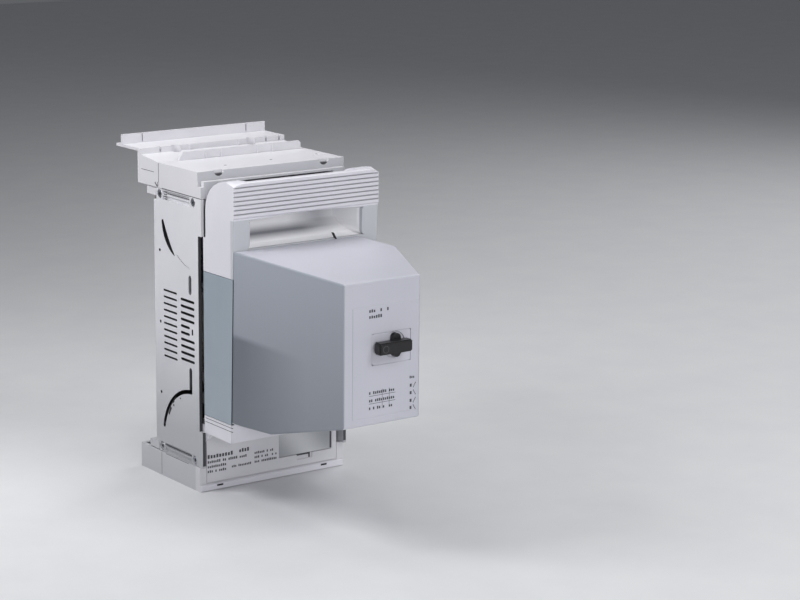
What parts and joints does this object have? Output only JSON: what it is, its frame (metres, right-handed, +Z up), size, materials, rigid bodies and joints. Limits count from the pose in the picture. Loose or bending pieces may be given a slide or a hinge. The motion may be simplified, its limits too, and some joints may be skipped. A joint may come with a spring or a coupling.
{
  "type": "fuse switch disconnector",
  "caption": "Busbar-mounted fuse switch disconnector: hinged lid with ribbed handle, sight windows, blade fuses and a boxed monitoring breaker with rotary knob.",
  "frame": {"origin": "middle of the whole device's floor print, on the plane that it stands on", "axes": "+Z up; -Y is the front, where the knob is; +Y is the back, where the busbars are; +X is to the right seen from the front"},
  "size_m": [0.106, 0.2514, 0.209],
  "materials": {
    "chassis_plastic": "fine satin moulding grain",
    "lid_plastic": "satin, slightly smoother than the chassis",
    "housing_plastic": "satin sheet-formed plastic",
    "window": "smoke-tinted, polished",
    "label_film": "satin film",
    "knob_plastic": "black satin",
    "steel": "zinc plated",
    "silvered_copper": "silver plated, dull",
    "ceramic": "unglazed ceramic, stands in as gloss plastic"
  },
  "bodies": {
    "chassis": {"chassis_base": "chassis_plastic", "top_terminal_cover": "chassis_plastic", "top_rear_cover": "chassis_plastic", "bottom_terminal_cover": "chassis_plastic", "bottom_rear_cover": "chassis_plastic", "terminal_front_panel": "chassis_plastic", "label_slide": "label_film", "left_side_plate": "chassis_plastic", "left_screw_1": "steel", "left_screw_2": "steel", "left_screw_3": "steel", "left_screw_4": "steel", "right_side_plate": "chassis_plastic", "right_screw_1": "steel", "right_screw_2": "steel", "right_screw_3": "steel", "right_screw_4": "steel", "upper_jaw_1": "silvered_copper", "lower_jaw_1": "silvered_copper", "outgoing_terminal_1": "silvered_copper", "terminal_bolt_1": "steel", "busbar_claw_1": "silvered_copper", "upper_jaw_2": "silvered_copper", "lower_jaw_2": "silvered_copper", "outgoing_terminal_2": "silvered_copper", "terminal_bolt_2": "steel", "busbar_claw_2": "silvered_copper", "upper_jaw_3": "silvered_copper", "lower_jaw_3": "silvered_copper", "outgoing_terminal_3": "silvered_copper", "terminal_bolt_3": "steel", "busbar_claw_3": "silvered_copper"},
    "lid": {"lid_frame": "lid_plastic", "left_sight_window": "window", "right_sight_window": "window", "monitor_housing": "housing_plastic", "monitor_label": "housing_plastic", "mounting_rail": "steel", "monitor_breaker": "housing_plastic", "fuse_body_1": "ceramic", "upper_blade_1": "silvered_copper", "lower_blade_1": "silvered_copper", "fuse_body_2": "ceramic", "upper_blade_2": "silvered_copper", "lower_blade_2": "silvered_copper", "fuse_body_3": "ceramic", "upper_blade_3": "silvered_copper", "lower_blade_3": "silvered_copper"},
    "knob": {"breaker_knob": "knob_plastic"}
  },
  "joints": [
    {"name": "lid_hinge", "type": "hinge", "parent": "chassis", "child": "lid", "pos_m": [0, 0.0372, 0.0264], "axis": [1, 0, 0], "range_deg": [0, 72]},
    {"name": "knob_turn", "type": "hinge", "parent": "lid", "child": "knob", "pos_m": [-0.0166, -0.1183, 0.1176], "axis": [0, 1, 0], "range_deg": [0, 90]}
  ]
}
